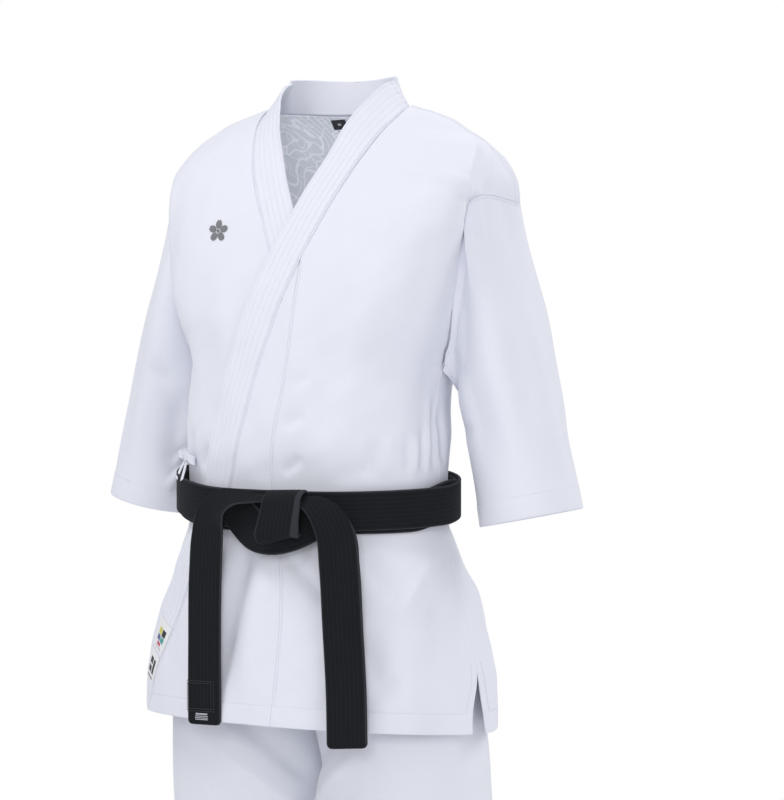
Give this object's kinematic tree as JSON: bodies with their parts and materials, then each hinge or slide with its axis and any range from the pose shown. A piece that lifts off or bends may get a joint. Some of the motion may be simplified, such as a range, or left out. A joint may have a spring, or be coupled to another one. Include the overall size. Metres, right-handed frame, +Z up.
{
  "type": "karate uniform",
  "caption": "White karate uniform as worn: wrap jacket with row-stitched collar band, wide trousers and a black belt knotted at the front.",
  "frame": {"origin": "middle of the neck opening, level with the points where the collar band meets the shoulders", "axes": "+Z up, -Y the wearer's front, +X the wearer's left"},
  "size_m": [0.6318, 0.3159, 1.4305],
  "materials": {
    "jacket_cotton": "matt cotton twill, very pale cool white",
    "trouser_cotton": "matt cotton, pale cool white",
    "lining_fabric": "grey lining printed with pale lines",
    "belt_cotton": "black cotton with rows of stitching",
    "label_dark": "dark woven label",
    "label_white": "white woven label"
  },
  "bodies": {
    "root": {"back": "jacket_cotton", "belt_end_left": "belt_cotton", "belt_end_right": "belt_cotton", "belt_knot_front": "belt_cotton", "belt_knot_under": "belt_cotton", "belt_wrap_inner": "belt_cotton", "belt_wrap_outer": "belt_cotton", "collar_band_left": "jacket_cotton", "collar_band_neck": "jacket_cotton", "collar_band_right": "jacket_cotton", "hem_label_lower": "label_white", "hem_label_upper": "label_white", "left_front": "jacket_cotton", "left_front_edge": "jacket_cotton", "left_leg": "trouser_cotton", "left_sleeve": "jacket_cotton", "neck_label": "label_dark", "right_front": "jacket_cotton", "right_front_edge": "jacket_cotton", "right_leg": "trouser_cotton", "right_sleeve": "jacket_cotton", "side_tie_knot": "jacket_cotton", "side_tie_loop_back": "jacket_cotton", "side_tie_loop_front": "jacket_cotton", "side_tie_tail_back": "jacket_cotton", "side_tie_tail_front": "jacket_cotton", "size_tag": "label_white", "waistband": "trouser_cotton", "yoke_lining": "lining_fabric"}
  },
  "joints": []
}
